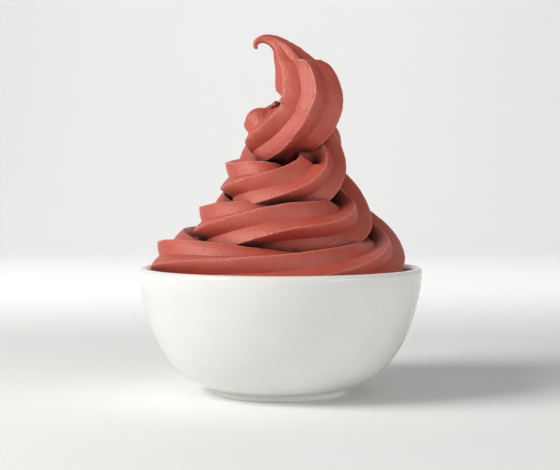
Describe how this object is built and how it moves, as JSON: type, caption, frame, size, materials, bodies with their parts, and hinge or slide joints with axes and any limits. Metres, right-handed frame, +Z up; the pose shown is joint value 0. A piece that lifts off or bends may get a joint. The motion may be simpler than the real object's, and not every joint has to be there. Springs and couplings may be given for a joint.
{
  "type": "bowl of soft-serve frozen yogurt",
  "caption": "Round glazed ceramic bowl on a foot ring, filled with a tall piped swirl of frozen yogurt that ends in a thin curled tip.",
  "frame": {"origin": "centre of the bowl's foot, on the surface it stands on", "axes": "+Z up along the axis of the bowl, -Y towards the front, +X to the right seen from the front, where the tip of the swirl curls to the left"},
  "size_m": [0.1302, 0.1302, 0.1646],
  "materials": {
    "bowl_glaze": "smooth white glaze, glossy",
    "frozen_yogurt": "matt frozen yogurt with a fine grain, reddish pink"
  },
  "bodies": {
    "root": {"bowl": "bowl_glaze", "frozen_yogurt": "frozen_yogurt"}
  },
  "joints": []
}
